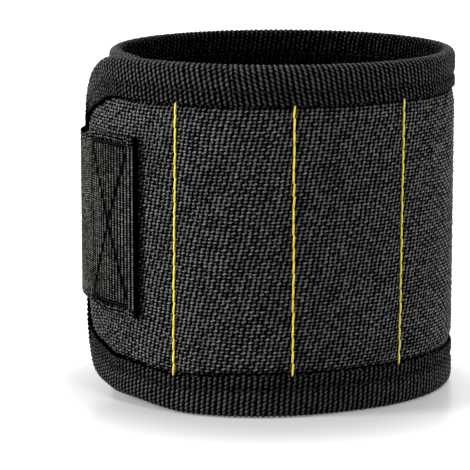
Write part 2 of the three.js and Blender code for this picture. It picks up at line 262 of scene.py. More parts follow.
def swellAt(x, z, bound):
    dip = np.max([1 - smooth(np.abs(x - seam) / layers["seamDipWidth"]) for seam in seamAt], axis=0)
    inside = fromEdge(x, z) - bound
    swell = layers["rimRise"] * above(inside, *layers["rimStep"])
    swell = swell + (1 - layers["rimRise"]) * smooth(inside / layers["swellWidth"])
    return swell * (1 - layers["seamDip"] * dip)


def shellFaceAt(x, z):
    return layers["shellEdge"] + layers["shellSwell"] * swellAt(x, z, boundAt(x, z))


plainTops = 0.5  # on faces without a weave


# A cloth body: a grid whose rows go once round the cloth's section, closed along its length and at
# its two ends. flat is (columns, rows, 3), uv is (columns, rows, 2), tops is 1 on a yarn and 0 between,
# and carries the painted highlight on the yarns and the painted shade between them.
def clothBody(name, flat, uv, tops, roll, material):
    columns, rows = flat.shape[:2]
    bpy.ops.object.select_all(action="DESELECT")
    bpy.ops.mesh.primitive_grid_add(x_subdivisions=rows - 1, y_subdivisions=columns - 1, size=1)
    piece = bpy.context.object
    piece.name = piece.data.name = name
    mesh = piece.data
    mesh.vertices.foreach_set("co", rolled(flat, roll).astype(np.float32).ravel())
    corners = np.zeros(len(mesh.loops), np.int32)
    mesh.loops.foreach_get("vertex_index", corners)
    mesh.uv_layers[0].name = "flatCloth"
    mesh.uv_layers[0].data.foreach_set("uv", uv.reshape(-1, 2)[corners].astype(np.float32).ravel())
    mesh.attributes.new("tops", "FLOAT", "POINT").data.foreach_set("value", tops.astype(np.float32).ravel())
    bpy.ops.object.mode_set(mode="EDIT")
    bpy.ops.mesh.select_all(action="SELECT")
    bpy.ops.mesh.remove_doubles(threshold=1e-7)
    bpy.ops.mesh.fill_holes(sides=0)
    bpy.ops.mesh.normals_make_consistent(inside=False)
    bpy.ops.mesh.faces_shade_smooth()
    bpy.ops.mesh.select_mode(type="FACE")
    bpy.ops.mesh.select_face_by_sides(number=4, type="GREATER")
    bpy.ops.mesh.mark_sharp()
    bpy.ops.object.mode_set(mode="OBJECT")
    piece.data.materials.append(material)
    return piece


# Copies of one small shape of thread, modelled once, each laid at its own place and turn.
# places is (count, 3) flat, turns is (count, 3, 3), whose rows are the shape's own axes.
def laidCopies(shape, name, places, turns, roll, material):
    bpy.ops.object.select_all(action="DESELECT")
    shape.select_set(True)
    bpy.context.view_layer.objects.active = shape
    shape.name = shape.data.name = name
    base = np.zeros(len(shape.data.vertices) * 3, np.float32)
    shape.data.vertices.foreach_get("co", base)
    base = base.reshape(-1, 3).astype(float)
    row = shape.modifiers.new("row", "ARRAY")
    row.count = len(places)
    bpy.ops.object.modifier_apply(modifier=row.name)
    flat = np.einsum("vk,ckj->cvj", base, turns) + places[:, None, :]
    shape.data.vertices.foreach_set("co", rolled(flat, roll).astype(np.float32).ravel())
    bpy.ops.object.mode_set(mode="EDIT")
    bpy.ops.mesh.select_all(action="SELECT")
    bpy.ops.mesh.normals_make_consistent(inside=False)
    bpy.ops.mesh.faces_shade_smooth()
    bpy.ops.object.mode_set(mode="OBJECT")
    shape.data.materials.append(material)
    return shape


# One stitch, lying along its own x, with both ends drawn down into the cloth.
def oneStitch(thread):
    bpy.ops.object.select_all(action="DESELECT")
    bpy.ops.mesh.primitive_uv_sphere_add(segments=8, ring_count=7, radius=1)
    bpy.ops.object.mode_set(mode="EDIT")
    bpy.ops.mesh.select_all(action="SELECT")
    bpy.ops.transform.rotate(value=math.pi / 2, orient_axis="Y", center_override=(0, 0, 0))
    bpy.ops.object.mode_set(mode="OBJECT")
    stitch = bpy.context.object
    for v in stitch.data.vertices:
        around = math.hypot(v.co.y, v.co.z)
        fuller = around ** thread["fullness"] / around if around > 1e-5 else 1
        along = v.co.x
        v.co.x = along * thread["length"] / 2
        v.co.y = v.co.y * fuller * thread["height"] / 2 - thread["dive"] * abs(along) ** 3
        v.co.z = v.co.z * fuller * thread["width"] / 2
    return stitch


def turnsInPlane(angles):
    cos, sin = np.cos(angles), np.sin(angles)
    zero, one = np.zeros_like(cos), np.ones_like(cos)
    axes = ((cos, zero, sin), (zero, one, zero), (-sin, zero, cos))
    return np.stack([np.stack(axis, 1) for axis in axes], 1)


def bendAt(piece):
    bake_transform(piece)


# Finishes
def feed(tree, node, links):
    for socket, source in links.items():
        if isinstance(source, bpy.types.NodeSocket):
            tree.links.new(source, node.inputs[socket])
        else:
            node.inputs[socket].default_value = source


def addNode(tree, kind, links=None, **settings):
    node = tree.nodes.new(kind)
    for key, value in settings.items():
        setattr(node, key, value)
    feed(tree, node, links or {})
    return node


def calculate(tree, operation, *values):
    return addNode(tree, "ShaderNodeMath", dict(enumerate(values)), operation=operation).outputs[0]


def noiseOn(tree, place, scale, detail, roughness):
    links = {"Vector": place, "Scale": scale, "Detail": detail, "Roughness": roughness}
    return addNode(tree, "ShaderNodeTexNoise", links).outputs["Fac"]


def remapped(tree, value, toMin=0.0, toMax=1.0, fromMin=0.0, fromMax=1.0, **settings):
    links = {"Value": value, "From Min": fromMin, "From Max": fromMax, "To Min": toMin, "To Max": toMax}
    return addNode(tree, "ShaderNodeMapRange", links, **settings).outputs[0]


# Noises are scale, detail and roughness, bumps are strength and distance.
yarnLook = {
    "yarns": (0.9, 3.0, 0.7),
    "dust": (0.06, 2.0, 0.5),
    "fibres": (7.0, 4.0, 0.75),
    "roughness": (0.32, 0.52),
    "fibreRange": (0.3, 0.7),
    "fuzz": (0.25, 0.0002),
    "glossRoughness": 0.42,  # of the sheen on the backs of the yarns
    "glossIor": 1.53,
}
threadLook = {
    "fibre": (2600.0, 3.0, 0.5),
    "patch": (420.0, 1.0, 0.5),
    "toneRange": (0.7, 1.2),
    "twist": (0.4, 0.0001),
}
yarnSockets = {
    "INPUT": {"Vector": ["Flat"], "Color": ["Yarn", "Gap"], "Float": ["Tops", "Low", "High", "Uneven"]},
    "OUTPUT": {"Color": ["Color"], "Float": ["Roughness", "Height", "Backs"]},
}


# Yarn seen from above: painted shade between the yarns, a painted highlight on their backs, and a tone uneven
# from yarn to yarn.
def buildYarnGroup():
    group = bpy.data.node_groups.new("yarnPaintedShading", "ShaderNodeTree")
    for side, kinds in yarnSockets.items():
        for kind, sockets in kinds.items():
            for socket in sockets:
                group.interface.new_socket(socket, in_out=side, socket_type=f"NodeSocket{kind}")
    given, leave = group.nodes.new("NodeGroupInput").outputs, group.nodes.new("NodeGroupOutput")
    lowHigh = {"fromMin": given["Low"], "fromMax": given["High"]}
    backs = remapped(group, given["Tops"], interpolation_type="SMOOTHSTEP", **lowHigh)
    yarns, dust, fibres = (noiseOn(group, given["Flat"], *yarnLook[k]) for k in ("yarns", "dust", "fibres"))
    tone = calculate(group, "ADD", yarns, dust)
    spread = calculate(group, "ADD", tone, -1.0)
    grain = calculate(group, "ADD", fibres, -0.5)
    both = calculate(group, "ADD", spread, grain)
    gain = calculate(group, "MULTIPLY_ADD", both, given["Uneven"], 1.0)
    tinted = addNode(group, "ShaderNodeVectorMath", {0: given["Yarn"], "Scale": gain}, operation="SCALE")
    mixed = {0: backs, 6: given["Gap"], 7: tinted.outputs[0]}
    colour = addNode(group, "ShaderNodeMix", mixed, data_type="RGBA")
    rough = remapped(group, fibres, *yarnLook["roughness"], *yarnLook["fibreRange"])
    feed(group, leave, {"Color": colour.outputs[2], "Roughness": rough, "Height": fibres, "Backs": backs})
    return group


yarnGroup = buildYarnGroup()


def newMaterial(name):
    made = bpy.data.materials.new(name)
    made.use_nodes = True
    return made, made.node_tree, made.node_tree.nodes["Principled BSDF"]


def bumpOn(tree, height, strength, distance):
    links = {"Height": height, "Strength": strength, "Distance": distance}
    return addNode(tree, "ShaderNodeBump", links).outputs["Normal"]


def clothMaterial(name, yarn, gap, low=0.2, high=0.9, uneven=0.6, gloss=0.055):
    made, tree, shader = newMaterial(name)
    flat = addNode(tree, "ShaderNodeUVMap", uv_map="flatCloth")
    tops = addNode(tree, "ShaderNodeAttribute", attribute_name="tops")
    given = {"Flat": flat.outputs["UV"], "Tops": tops.outputs["Fac"], "Yarn": (*yarn, 1), "Gap": (*gap, 1),
             "Low": low, "High": high, "Uneven": uneven}
    yarnShading = addNode(tree, "ShaderNodeGroup", given, node_tree=yarnGroup).outputs
    feed(tree, shader, {
        "Base Color": yarnShading["Color"],
        "Roughness": yarnShading["Roughness"],
        "Normal": bumpOn(tree, yarnShading["Height"], *yarnLook["fuzz"]),
        "Coat Weight": calculate(tree, "MULTIPLY", yarnShading["Backs"], gloss),
        "Coat Roughness": yarnLook["glossRoughness"],
        "Coat IOR": yarnLook["glossIor"],
        "Specular IOR Level": 0.0,
    })
    return made


def threadMaterial(name, colour, dark, roughness, specular):
    made, tree, shader = newMaterial(name)
    place = addNode(tree, "ShaderNodeTexCoord").outputs["Object"]
    fibre, patch = (noiseOn(tree, place, *threadLook[k]) for k in ("fibre", "patch"))
    tone = remapped(tree, calculate(tree, "ADD", fibre, patch), 0.0, 1.0, *threadLook["toneRange"])
    ramp = addNode(tree, "ShaderNodeValToRGB", {"Fac": tone})
    ramp.color_ramp.elements[0].color = (*dark, 1)
    ramp.color_ramp.elements[1].color = (*colour, 1)
    feed(tree, shader, {
        "Base Color": ramp.outputs["Color"],
        "Normal": bumpOn(tree, fibre, *threadLook["twist"]),
        "Roughness": roughness,
        "Specular IOR Level": specular,
    })
    return made


# Gap colours are the painted shade between the yarns
black = (0.0, 0.0, 0.0)
tapeGap = (0.002, 0.002, 0.002)
ballisticNylon = clothMaterial("ballisticNylon", (0.112, 0.112, 0.113), black, low=0.42, high=1.02, gloss=1.0)
bindingTape = clothMaterial("bindingTape", (0.053, 0.053, 0.054), black, low=0.32, high=0.97, gloss=0.364)
strapWebbing = clothMaterial("strapWebbing", (0.155, 0.149, 0.137), black, low=0.4, high=1.02, uneven=2.2)
airMesh = clothMaterial("airMesh", (0.016, 0.016, 0.016), black)
loopGround = clothMaterial("loopGround", (0.012, 0.012, 0.012), tapeGap)
hookGround = clothMaterial("hookGround", (0.012, 0.012, 0.012), tapeGap)
yellowThread = threadMaterial("yellowThread", (0.96, 0.79, 0.1), (0.8, 0.6, 0.05), 0.5, 0.3)
blackThread = threadMaterial("blackThread", (0.004, 0.004, 0.004), (0.001, 0.001, 0.001), 0.6, 0.03)
greyThread = threadMaterial("greyThread", (0.012, 0.012, 0.012), (0.003, 0.003, 0.003), 0.6, 0.05)
pileThread = threadMaterial("pileThread", (0.022, 0.022, 0.022), (0.006, 0.006, 0.006), 0.6, 0.15)
hookPlastic = threadMaterial("hookPlastic", (0.016, 0.016, 0.017), (0.008, 0.008, 0.008), 0.35, 0.4)
print("finishes made")

# Ballistic weave: floats of a plain weave, tall up the band with painted shade, short along it with a painted
# highlight
weave = {
    "across": 1.29,
    "up": 0.88,
    "lean": 0.22,
    "relief": 0.75,
    "upFloat": (0.46, 0.76),  # half its width and half its height, in cells
    "alongFloat": (0.6, 0.38),
    "alongSlant": 0.26,
    "alongHighlight": (1.15, 0.3),  # painted highlight on its middle, and lighter towards its upper side
    "upHeight": 0.62,
    # painted shade on the tall floats
    "upPaintedShade": 0.86,
    "loose": 0.26,  # how much one float differs from the next
    "sideWander": ((0.12, 0.23, 0.21), (0.08, 0.17, -0.41)),  # in cells, and how fast along x and z
    "upWander": (0.12, 0.23, 0.19),
}


# A repeatable uneven number from -0.5 to 0.5 for each cell of a weave
def chance(i, j, salt):
    return np.mod(np.sin(i * 12.9898 + j * 78.233 + salt) * 43758.5453, 1.0) - 0.5


def floatAt(a, b, i, j, size):
    a = a + 0.5 * weave["loose"] * chance(i, j, 1.0)
    b = b + 0.5 * weave["loose"] * chance(i, j, 5.0)
    return dome(a / size[0], b / size[1]) * (1 - weave["loose"] * (0.5 + chance(i, j, 9.0)))


def wanderAt(x, z, far, alongX, alongZ):
    return far * np.sin(x * alongX + z * alongZ)


# Height of the weave, and how bright its yarns are painted, with painted shade between them and a painted
# highlight on the short floats, both from 0 to 1.
def weaveAt(x, z):
    u = (x + weave["lean"] * z) / weave["across"] + sum(wanderAt(x, z, *w) for w in weave["sideWander"])
    v = z / weave["up"] + wanderAt(x, z, *weave["upWander"])
    i, j = np.floor(u), np.floor(v)
    a, b = u - i - 0.5, v - j - 0.5
    along = np.mod(i + j, 2) == 0
    nextA, nextB = np.where(a < 0, -1, 1), np.where(b < 0, -1, 1)
    up = floatAt(a, np.where(along, b - nextB, b), i, np.where(along, j + nextB, j), weave["upFloat"])
    sideI, sideA = np.where(along, i, i + nextA), np.where(along, a, a - nextA)
    side = floatAt(sideA, b + weave["alongSlant"] * sideA, sideI, j, weave["alongFloat"])
    shade, lighter = weave["alongHighlight"]
    bright = np.maximum(weave["upPaintedShade"] * up, side * (shade + lighter * b))
    return np.maximum(weave["upHeight"] * up, side), bright


# Yellow thread of the seams, which sinks in a furrow of the cloth
seamThread = {
    "length": 3.5,
    "pitch": 3.25,
    "width": 0.54,
    "height": 0.5,
    "fullness": 0.3,
    "dive": 0.19,
    "offset": 0.5,
    "rise": -0.11,
    "overHem": 0.35,
    "hemRise": 0.25,
    "backSink": 0.3,  # sewn tighter round the back
    "shownSeams": 3,
    "lean": 0.05,
    "looseLean": 0.03,
    "looseSide": 0.05,
    "seed": 40,
}


def seamSide(index):
    return -1 if index < pocketCount else 1


shell = {
    "columnStep": 0.26,
    "rowStep": 0.215,
    "tailCoarser": 2.2,
    "hiddenRows": 4,
    "backRows": (0, 4, 7, 9, 11, 13, 15, 18, 24, 34, 60, 110),  # of the front, from each edge
    "backSpare": 0.1,
    "grooveDip": 0.34,
    "grooveWidth": 0.9,
    "deepest": 0.8,
    "reliefStep": (-0.6, 0.5),
    "hemShade": 0.3,  # painted shade of the crevice along the binding
    "hemStep": (0.1, 0.7),
    "endShade": 0.4,  # more of it at the closing end
    "endStep": (50.0, 30.0),
}


def layerHeights(x, fine, hidden):
    low = lowEdge(x, layers["hiddenEdge"])[:, None]
    bound = low + boundAt(x, band["height"])[:, None] - layers["hiddenEdge"] - layers["fineUnder"]
    up = np.linspace(0, 1, hidden + 1)[None, :-1]
    edge = low + (bound - low) * up
    count = int(round((band["height"] - 2 * binding["width"]) / fine))
    middle = bound + (band["height"] - 2 * bound) * np.linspace(0, 1, count + 1)[None, :]
    return np.concatenate([edge, middle, band["height"] - edge[:, ::-1]], axis=1)


def layerSpan(fold):
    return max(cutAt[fold + 1], layers["hiddenEdge"]), min(cutAt[fold], bandLength - layers["hiddenEdge"])


def evenly(start, stop, step):
    return np.linspace(start, stop, int(round((stop - start) / step)) + 1)


def overRows(x, heights):
    return np.broadcast_to(x[:, None], heights.shape)


# Rows that go up one face of a section, down the other and back to the first.
def allRound(first, second):
    return np.concatenate([first, second, first[:, :1]], axis=1)


def closedSection(x, firstY, secondY, firstZ, secondZ):
    z = allRound(firstZ, secondZ)
    return np.stack([overRows(x, z), allRound(firstY, secondY), z], -1)


def makeShell(fold):
    start, stop = layerSpan(fold)
    x = evenly(start, stop, shell["columnStep"] * (shell["tailCoarser"] if fold == lastFold else 1))
    outerZ = layerHeights(x, shell["rowStep"], shell["hiddenRows"])
    last = outerZ.shape[1] - 1
    backZ = outerZ[:, [last - row for row in shell["backRows"]] + list(shell["backRows"][::-1])]
    outerX, backX = overRows(x, outerZ), overRows(x, backZ)
    inside = fromEdge(outerX, outerZ) - boundAt(outerX, outerZ)
    relief, bright = weaveAt(outerX, outerZ)
    # Painted shade in the crevice along the binding, more of it towards the closing end
    shade = shell["hemShade"] + shell["endShade"] * below(bandLength - outerX, *shell["endStep"])
    bright = bright * (1 - shade * (1 - above(inside, *shell["hemStep"])))
    grooves = [outerX - seamLine(k, outerZ) - seamThread["offset"] * seamSide(k) for k in range(len(seamAt))]
    groove = np.max([bell(far, shell["grooveWidth"]) for far in grooves], axis=0)
    sink = np.minimum(weave["relief"] * (1 - relief) + shell["grooveDip"] * groove, shell["deepest"])
    outerY = shellFaceAt(outerX, outerZ) - above(inside, *shell["reliefStep"]) * sink
    backY = shellFaceAt(backX, backZ) - layers["shellThickness"] - shell["backSpare"]
    flat = closedSection(x, outerY, backY, outerZ, backZ)
    tops = allRound(bright, np.full(backZ.shape, plainTops))
    piece = clothBody(f"shell_{fold + 1}", flat, flat[..., [0, 2]], tops, bandRoll, ballisticNylon)
    bendAt(piece)
    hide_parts(f"{stretchNames[fold]}_shell", f"{stretchNames[fold + 1]}_shell")


# Padded lining, with an air mesh on the wrist side and a hollow behind each magnet
lining = {
    "step": 0.66,
    "outerStep": 1.2,
    "hiddenRows": 3,
    "holePitch": 2.5,
    "holeDepth": 0.34,
    "holeStep": (0.16, 0.22),  # in pitches from the middle of a hole
    "shownStep": (-0.6, 0.8),
    "seamPull": 0.35,
    "seamPullWidth": 1.3,
    "fill": 0.7,
}
magnet = {
    "radius": 7.5,
    "thickness": 1.5,
    "pitch": 21.0,
    "rows": 3,
    "seatTurn": 0.6,
    "seatDepth": 3.0,
    "seatWall": 0.9,
}


def holesAt(x, z):
    pitch = lining["holePitch"]
    rowPitch = pitch * math.sqrt(3) / 2
    best = np.full(x.shape, np.inf)
    for shift in (0, 1):
        row = np.round((z / rowPitch - shift) / 2) * 2 + shift
        column = np.round(x / pitch - 0.5 * shift) + 0.5 * shift
        best = np.minimum(best, np.hypot(x - column * pitch, z - row * rowPitch))
    return 1 - above(best / pitch, *lining["holeStep"])


def seatAt(x, z, level):
    shellFace = band["radius"] + layers["shellEdge"] + layers["shellSwell"]
    face = math.sqrt((shellFace - layers["shellThickness"] - layers["gap"]) ** 2 - magnet["radius"] ** 2)
    for i in range(pocketCount):
        middle = (seamAt[i] + seamAt[i + 1]) / 2
        turn = np.clip((x - middle) / band["radius"], -magnet["seatTurn"], magnet["seatTurn"])
        floor = (face - magnet["thickness"] - layers["gap"]) / np.cos(turn) - band["radius"]
        for row in range(magnet["rows"]):
            height = band["height"] / 2 + (row - 1) * magnet["pitch"]
            far = np.hypot(x - middle, z - height)
            wall = above(far, magnet["radius"] + layers["gap"], magnet["seatWall"])
            level = np.minimum(level, floor + magnet["seatDepth"] * wall)
    return level


def makeLining(fold):
    x = evenly(*layerSpan(fold), lining["step"])
    innerZ = layerHeights(x, lining["step"], lining["hiddenRows"])[:, ::-1]
    outerZ = layerHeights(x, lining["outerStep"], lining["hiddenRows"])
    innerX, outerX = overRows(x, innerZ), overRows(x, outerZ)
    shown = above(fromEdge(innerX, innerZ) - binding["width"], *lining["shownStep"])
    holes = holesAt(innerX, innerZ)
    pull = np.max([bell(innerX - seam, lining["seamPullWidth"]) for seam in seamAt], axis=0)
    innerY = layers["liningEdge"] - layers["liningSwell"] * swellAt(innerX, innerZ, binding["width"])
    innerY = innerY + shown * (lining["holeDepth"] * holes + lining["seamPull"] * pull)
    outerY = seatAt(outerX, outerZ, shellFaceAt(outerX, outerZ) - layers["shellThickness"] - layers["gap"])
    flat = closedSection(x, outerY, innerY, outerZ, innerZ)
    # painted shade in the holes of the air mesh
    tops = allRound(np.full(outerZ.shape, plainTops), 1 - holes)
    piece = clothBody(f"lining_{fold + 1}", flat, flat[..., [0, 2]], tops, bandRoll, airMesh)
    bendAt(piece)
    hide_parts(f"{stretchNames[fold]}_lining", f"{stretchNames[fold + 1]}_lining")


# Binding tape: ribs of two strands of beads, folded over the rim and stitched near its free edges
bead = {
    "stagger": 0.37,  # from rib to rib
    "looseStart": 0.3,
    "looseSide": 0.1,
    "middle": 0.6,  # across the rib
    "slant": 0.26,
    "halfWidth": 0.35,
    "halfLength": 0.64,
    "shade": (0.9, 0.2),  # and how much it differs from bead to bead
    "lesserMiddle": 0.16,
    "lesserSlant": 0.1,
    "lesserHalfWidth": 0.15,
    "lesserHalfLength": 0.5,
    "lesserHeight": 0.5,
}
bindingShade = {
    "wrist": 0.34,  # painted shade, darker by this on the wrist side
    "wristStep": (0.5, 0.1),  # in shares of the section
    "rim": 0.2,  # lighter along the rim: a painted highlight, with edge wear
    "rimAt": 0.47,
    "rimWidth": 0.04,
    "hem": 0.12,
    "hemOver": 0.8,
    # painted shade in the stitch groove
    "groove": 0.2,
    "end": 0.6,  # painted shade where the closing end turns away
    "endStep": (10.0, 8.0),
}


def resampled(points, spacing, fineShare=1.0):
    far = lengthsAlong(points)
    fine = far[-1] * fineShare
    at = evenly(0, fine, spacing)
    if fineShare < 1:
        coarse = np.linspace(fine, far[-1], int(round((far[-1] - fine) / spacing / binding["coarser"])) + 1)
        at = np.concatenate([at, coarse[1:]])
    return np.stack(alongLine(at, far, points), 1), at


def bindingSection():
    outer, inner, width = binding["outer"], binding["inner"], binding["width"]
    thick, fold = binding["thickness"], binding["foldDepth"]
    middle, half = (outer + inner) / 2, (outer - inner) / 2
    turn = np.linspace(0, np.pi, binding["foldPoints"])
    edge = np.linspace(-np.pi / 2, 0, binding["hemPoints"])
    hem = thick / 2
    outerFace = np.concatenate([
        np.stack([outer - hem + hem * np.cos(edge), width - hem - hem * np.sin(edge)], 1),
        np.stack([middle + half * np.cos(turn), fold - fold * np.sin(turn)], 1),
        np.stack([inner + hem - hem * np.cos(edge[::-1]), width - hem - hem * np.sin(edge[::-1])], 1),
    ])
    back = np.concatenate([
        np.array([[inner + thick, width - hem]]),
        np.stack([middle - (half - thick) * np.cos(turn), fold - (fold - thick) * np.sin(turn)], 1),
        np.array([[outer - thick, width - hem]]),
    ])
    face, far = resampled(outerFace, binding["beadPitch"] / binding["beadSteps"], binding["fineShare"])
    behind, _ = resampled(back, binding["backSpacing"])
    ahead = unit(np.gradient(face, axis=0))
    return face, far, np.stack([-ahead[:, 1], ahead[:, 0]], 1), behind


def ribsAt(phase, far):
    rib = np.floor(phase)
    share = phase - rib
    step = far / binding["beadPitch"] + bead["stagger"] * rib + bead["looseStart"] * chance(rib, 0, 3.0)
    place, lesserPlace = np.mod(step, 1.0) - 0.5, np.mod(step + 0.5, 1.0) - 0.5
    loose = chance(rib, np.floor(step), 2.0)
    sideways = share - bead["middle"] - bead["slant"] * place + bead["looseSide"] * loose
    main = dome(sideways / bead["halfWidth"], place / bead["halfLength"])
    main = main * (bead["shade"][0] + bead["shade"][1] * loose)
    lesserSideways = share - bead["lesserMiddle"] - bead["lesserSlant"] * lesserPlace
    lesser = dome(lesserSideways / bead["lesserHalfWidth"], lesserPlace / bead["lesserHalfLength"])
    return np.maximum(main, bead["lesserHeight"] * lesser)


def makeBinding(name, run, inward, phase, fold, nodes):
    face, far, outward, behind = bindingSection()
    depth = face[:, 1]
    groove = bell(depth - binding["grooveDepth"], binding["grooveWidth"])
    middle = (binding["outer"] + binding["inner"]) / 2
    wider = stretchAt(run[:, 0], run[:, 1])[:, None] - 1
    reaches = [np.clip(p[:, 1] - binding["foldDepth"], 0, None) * (p[:, 0] > middle) for p in (face, behind)]
    more, moreBehind = (reach * wider for reach in reaches)
    depthAt = depth + more
    upright = binding["lowLean"] + (1 - binding["lowLean"]) * smooth(run[:, 1] / band["height"])
    lean = binding["ribLean"] * (unit(np.gradient(run, axis=0))[:, 0] * upright)[:, None]
    relief = ribsAt(phase[:, None] + lean * depthAt / binding["ribPitch"], far - more)
    past = far / far[-1]
    # Painted light on the binding: shade on the wrist side, in the groove and at the closing end, a highlight
    # along the rim
    shade = 1 - bindingShade["wrist"] * above(past, *bindingShade["wristStep"])
    shade = shade + bindingShade["rim"] * bell(past - bindingShade["rimAt"], bindingShade["rimWidth"])
    shade = shade * (1 - bindingShade["hem"] * above(depth, binding["grooveDepth"], bindingShade["hemOver"]))
    shade = shade * (1 - bindingShade["groove"] * groove)
    paintedEndShade = bindingShade["end"] * below(bandLength - run[:, :1], *bindingShade["endStep"])
    bright = relief * shade * (1 - paintedEndShade)
    sink = binding["relief"] * (1 - relief) + binding["grooveDip"] * groove
    behindY = np.broadcast_to(behind[:, 0], moreBehind.shape)
    y = allRound(face[:, 0] - outward[:, 0] * sink, behindY)
    d = allRound(depthAt - outward[:, 1] * sink, behind[:, 1] + moreBehind)
    flat = np.stack([run[:, :1] + inward[:, :1] * d, y, run[:, 1:] + inward[:, 1:] * d], -1)
    farAll = np.concatenate([far, np.linspace(far[-1], 0, len(behind)), far[:1]])
    uv = np.stack(np.broadcast_arrays(phase[:, None] * binding["ribPitch"], farAll), -1)
    tops = allRound(bright, np.full(behindY.shape, plainTops))
    piece = clothBody(name, flat, uv, tops, bandRoll, bindingTape)
    bendAt(piece)
    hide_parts(*nodes)


def straightRun(start, stop, height):
    count = int(round((stop - start) / binding["ribPitch"] * binding["ribSteps"]))
    x = np.linspace(start, stop, count + 1)
    inward = np.zeros((len(x), 2))
    inward[:, 1] = 1 if height == 0 else -1
    return np.stack([x, np.full(len(x), height)], 1), inward, x / binding["ribPitch"]


# The edge of the band along its bottom, round one end and back along its top.
def endRun(cut, atClasp):
    corner, height = band["corner"], band["height"]
    turn = np.linspace(0, np.pi / 2, binding["cornerPoints"])
    end, sign, share = (bandLength, 1, 1) if atClasp else (0.0, -1, binding["tailShare"])
    lowX, lowZ = end - sign * corner + sign * corner * np.sin(turn), corner - corner * np.cos(turn)
    upper = np.stack([lowX[::-1], height - lowZ[::-1]], 1)
    edge = np.concatenate([[[cut, 0.0]], np.stack([lowX, lowZ], 1), upper, [[cut, height]]])
    dense, far = resampled(edge, binding["edgeStep"])
    ribs = far[-1] / binding["ribPitch"]
    first = sign * cut / binding["ribPitch"]
    last = np.round(2 * first + ribs) - first
    at = np.linspace(0, far[-1], int(round(ribs * binding["ribSteps"] * share)) + 1)
    run = np.stack(alongLine(at, far, dense), 1)
    ahead = unit(np.stack(alongLine(at, far, np.gradient(dense, far, axis=0)), 1))
    inward = np.stack([-ahead[:, 1], ahead[:, 0]], 1) * sign
    return run, inward, first + (last - first) * at / far[-1]


# Where the binding of a fold runs, by the ending of its name.
def rimRuns(fold):
    start, stop = cutAt[fold + 1], cutAt[fold]
    if fold in (0, lastFold):
        return {"": endRun(start if fold == 0 else stop, fold == 0)}
    return {"_bottom": straightRun(start, stop, 0.0), "_top": straightRun(start, stop, band["height"])}


def makeBindings():
    endNodes = {0: ["clasp_binding"], lastFold: ["tail_binding", "back_binding_top", "back_binding_bottom"]}
    for fold in range(foldCount):
        for side, run in rimRuns(fold).items():
            nodes = endNodes.get(fold, [f"{s}_binding{side}" for s in stretchNames[fold : fold + 2]])
            makeBinding(f"binding_{fold + 1}{side}", *run, fold, nodes)


# Yellow stitches up each seam, from binding to binding
def makeSeam(index):
    low, top = (boundAt(seamAt[index], z) - seamThread["overHem"] for z in (0, band["height"]))
    count = int(round((band["height"] - low - top) / seamThread["pitch"]))
    z = low + (band["height"] - low - top) * (np.arange(count) + 0.5) / count
    rng = np.random.default_rng(seamThread["seed"] + index)
    x = seamLine(index, z) + seamSide(index) * seamThread["offset"]
    x = x + rng.normal(0, seamThread["looseSide"], count)
    y = shellFaceAt(x, z) - shell["grooveDip"] + seamThread["height"] / 2 + seamThread["rise"]
    y[[0, -1]] += seamThread["hemRise"]
    if index >= seamThread["shownSeams"]:
        y -= seamThread["backSink"]
    angles = np.pi / 2 + seamThread["lean"] + rng.normal(0, seamThread["looseLean"], count)
    places, turns, name = np.stack([x, y, z], 1), turnsInPlane(angles), f"seam_stitches_{index + 1}"
    piece = laidCopies(oneStitch(seamThread), name, places, turns, bandRoll, yellowThread)
    bendAt(piece)
    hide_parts(f"seam_{index + 1}")


print("making the band")
for fold in range(foldCount):
    makeLining(fold)
    makeShell(fold)
makeBindings()
for index in range(len(seamAt)):
    makeSeam(index)
print("band made")

# Hook-and-loop strap, sewn on the clasp end and closed on the tail
strap = {
    "height": 45.0,
    "middle": 47.0,
    "thickness": 0.8,
    "tipCorner": 8.0,
    "patchAngle": 45.0,
    "freeAngle": 56.0,
    "dropAngle": 29.0,
    "hookThickness": 0.8,
    "loopOuter": 3.2,
    "ribPitch": 1.36,
    "ribSteps": 5.3,  # columns to a rib on the sewn patch
    "freeRibSteps": 3.2,
    "dotPitch": 0.613,
    "dotSteps": 3.7,
    "relief": 0.4,
    "selvedge": 2.4,
    "hemStep": (3.0, 0.8),
    "hemRise": 1.2,
    "endThin": (0.5, 0.5),  # by this share, over this far
    # painted shade on the strap's end, on its front
    "endPaintedShadeStep": (0.1, 0.4),
    "backShade": (0.42, 0.2),  # with ribs that show as a soft wave
    # painted shade on the strap's end, on its back
    "backPaintedShadeStep": (1.0, 0.8),
    "peelReach": 9.0,
    "sewnSpread": 0.045,
    "sewnStep": (14.0, 16.0),
    "sideNarrow": 0.036,
    "sideDrop": 0.85,
    "sideStep": (23.0, 11.0),
    "freeStep": (45.0, 20.0),
    "tipColumn": 0.3,  # from the tip to the column before it, at least
    "rollSteps": 4000,
}
webbing = {
    "halfWidth": 0.4,  # of a bead, in ribs
    "halfLength": 0.58,  # in dots
    "looseStart": 0.25,
    "looseSide": 0.2,
    "shade": (0.85, 0.3),  # and how much it differs from bead to bead
    "knotUp": 0.85,
    "knotAlong": 0.95,
    "knotLoose": 0.3,
    "knotSize": 0.46,
    "knotShade": (0.85, 0.5),
}
tapeBackStep = 2.5  # rows on the plain side of a tape
strapShare = np.linspace(0, 1, strap["rollSteps"] + 1)
strapPast = strap["patchAngle"] - strapShare * (strap["patchAngle"] + strap["freeAngle"])
sewn = liftAt(np.maximum(strapPast, 0)) + outermost + layers["gap"] + strap["thickness"] / 2
closed = strap["loopOuter"] + strap["hookThickness"] + 2 * layers["gap"] + strap["thickness"] / 2
drop = smooth(-strapPast / strap["dropAngle"])
strapRoll = rollTable(band["radius"] + sewn + (closed - sewn) * drop, band["claspAngle"] + strapPast)
strapLength = strapRoll["along"][-1]


def alongStrap(pastPatch):
    return np.interp(strap["patchAngle"] + pastPatch, strap["patchAngle"] - strapPast, strapRoll["along"])


patchLength = alongStrap(0)


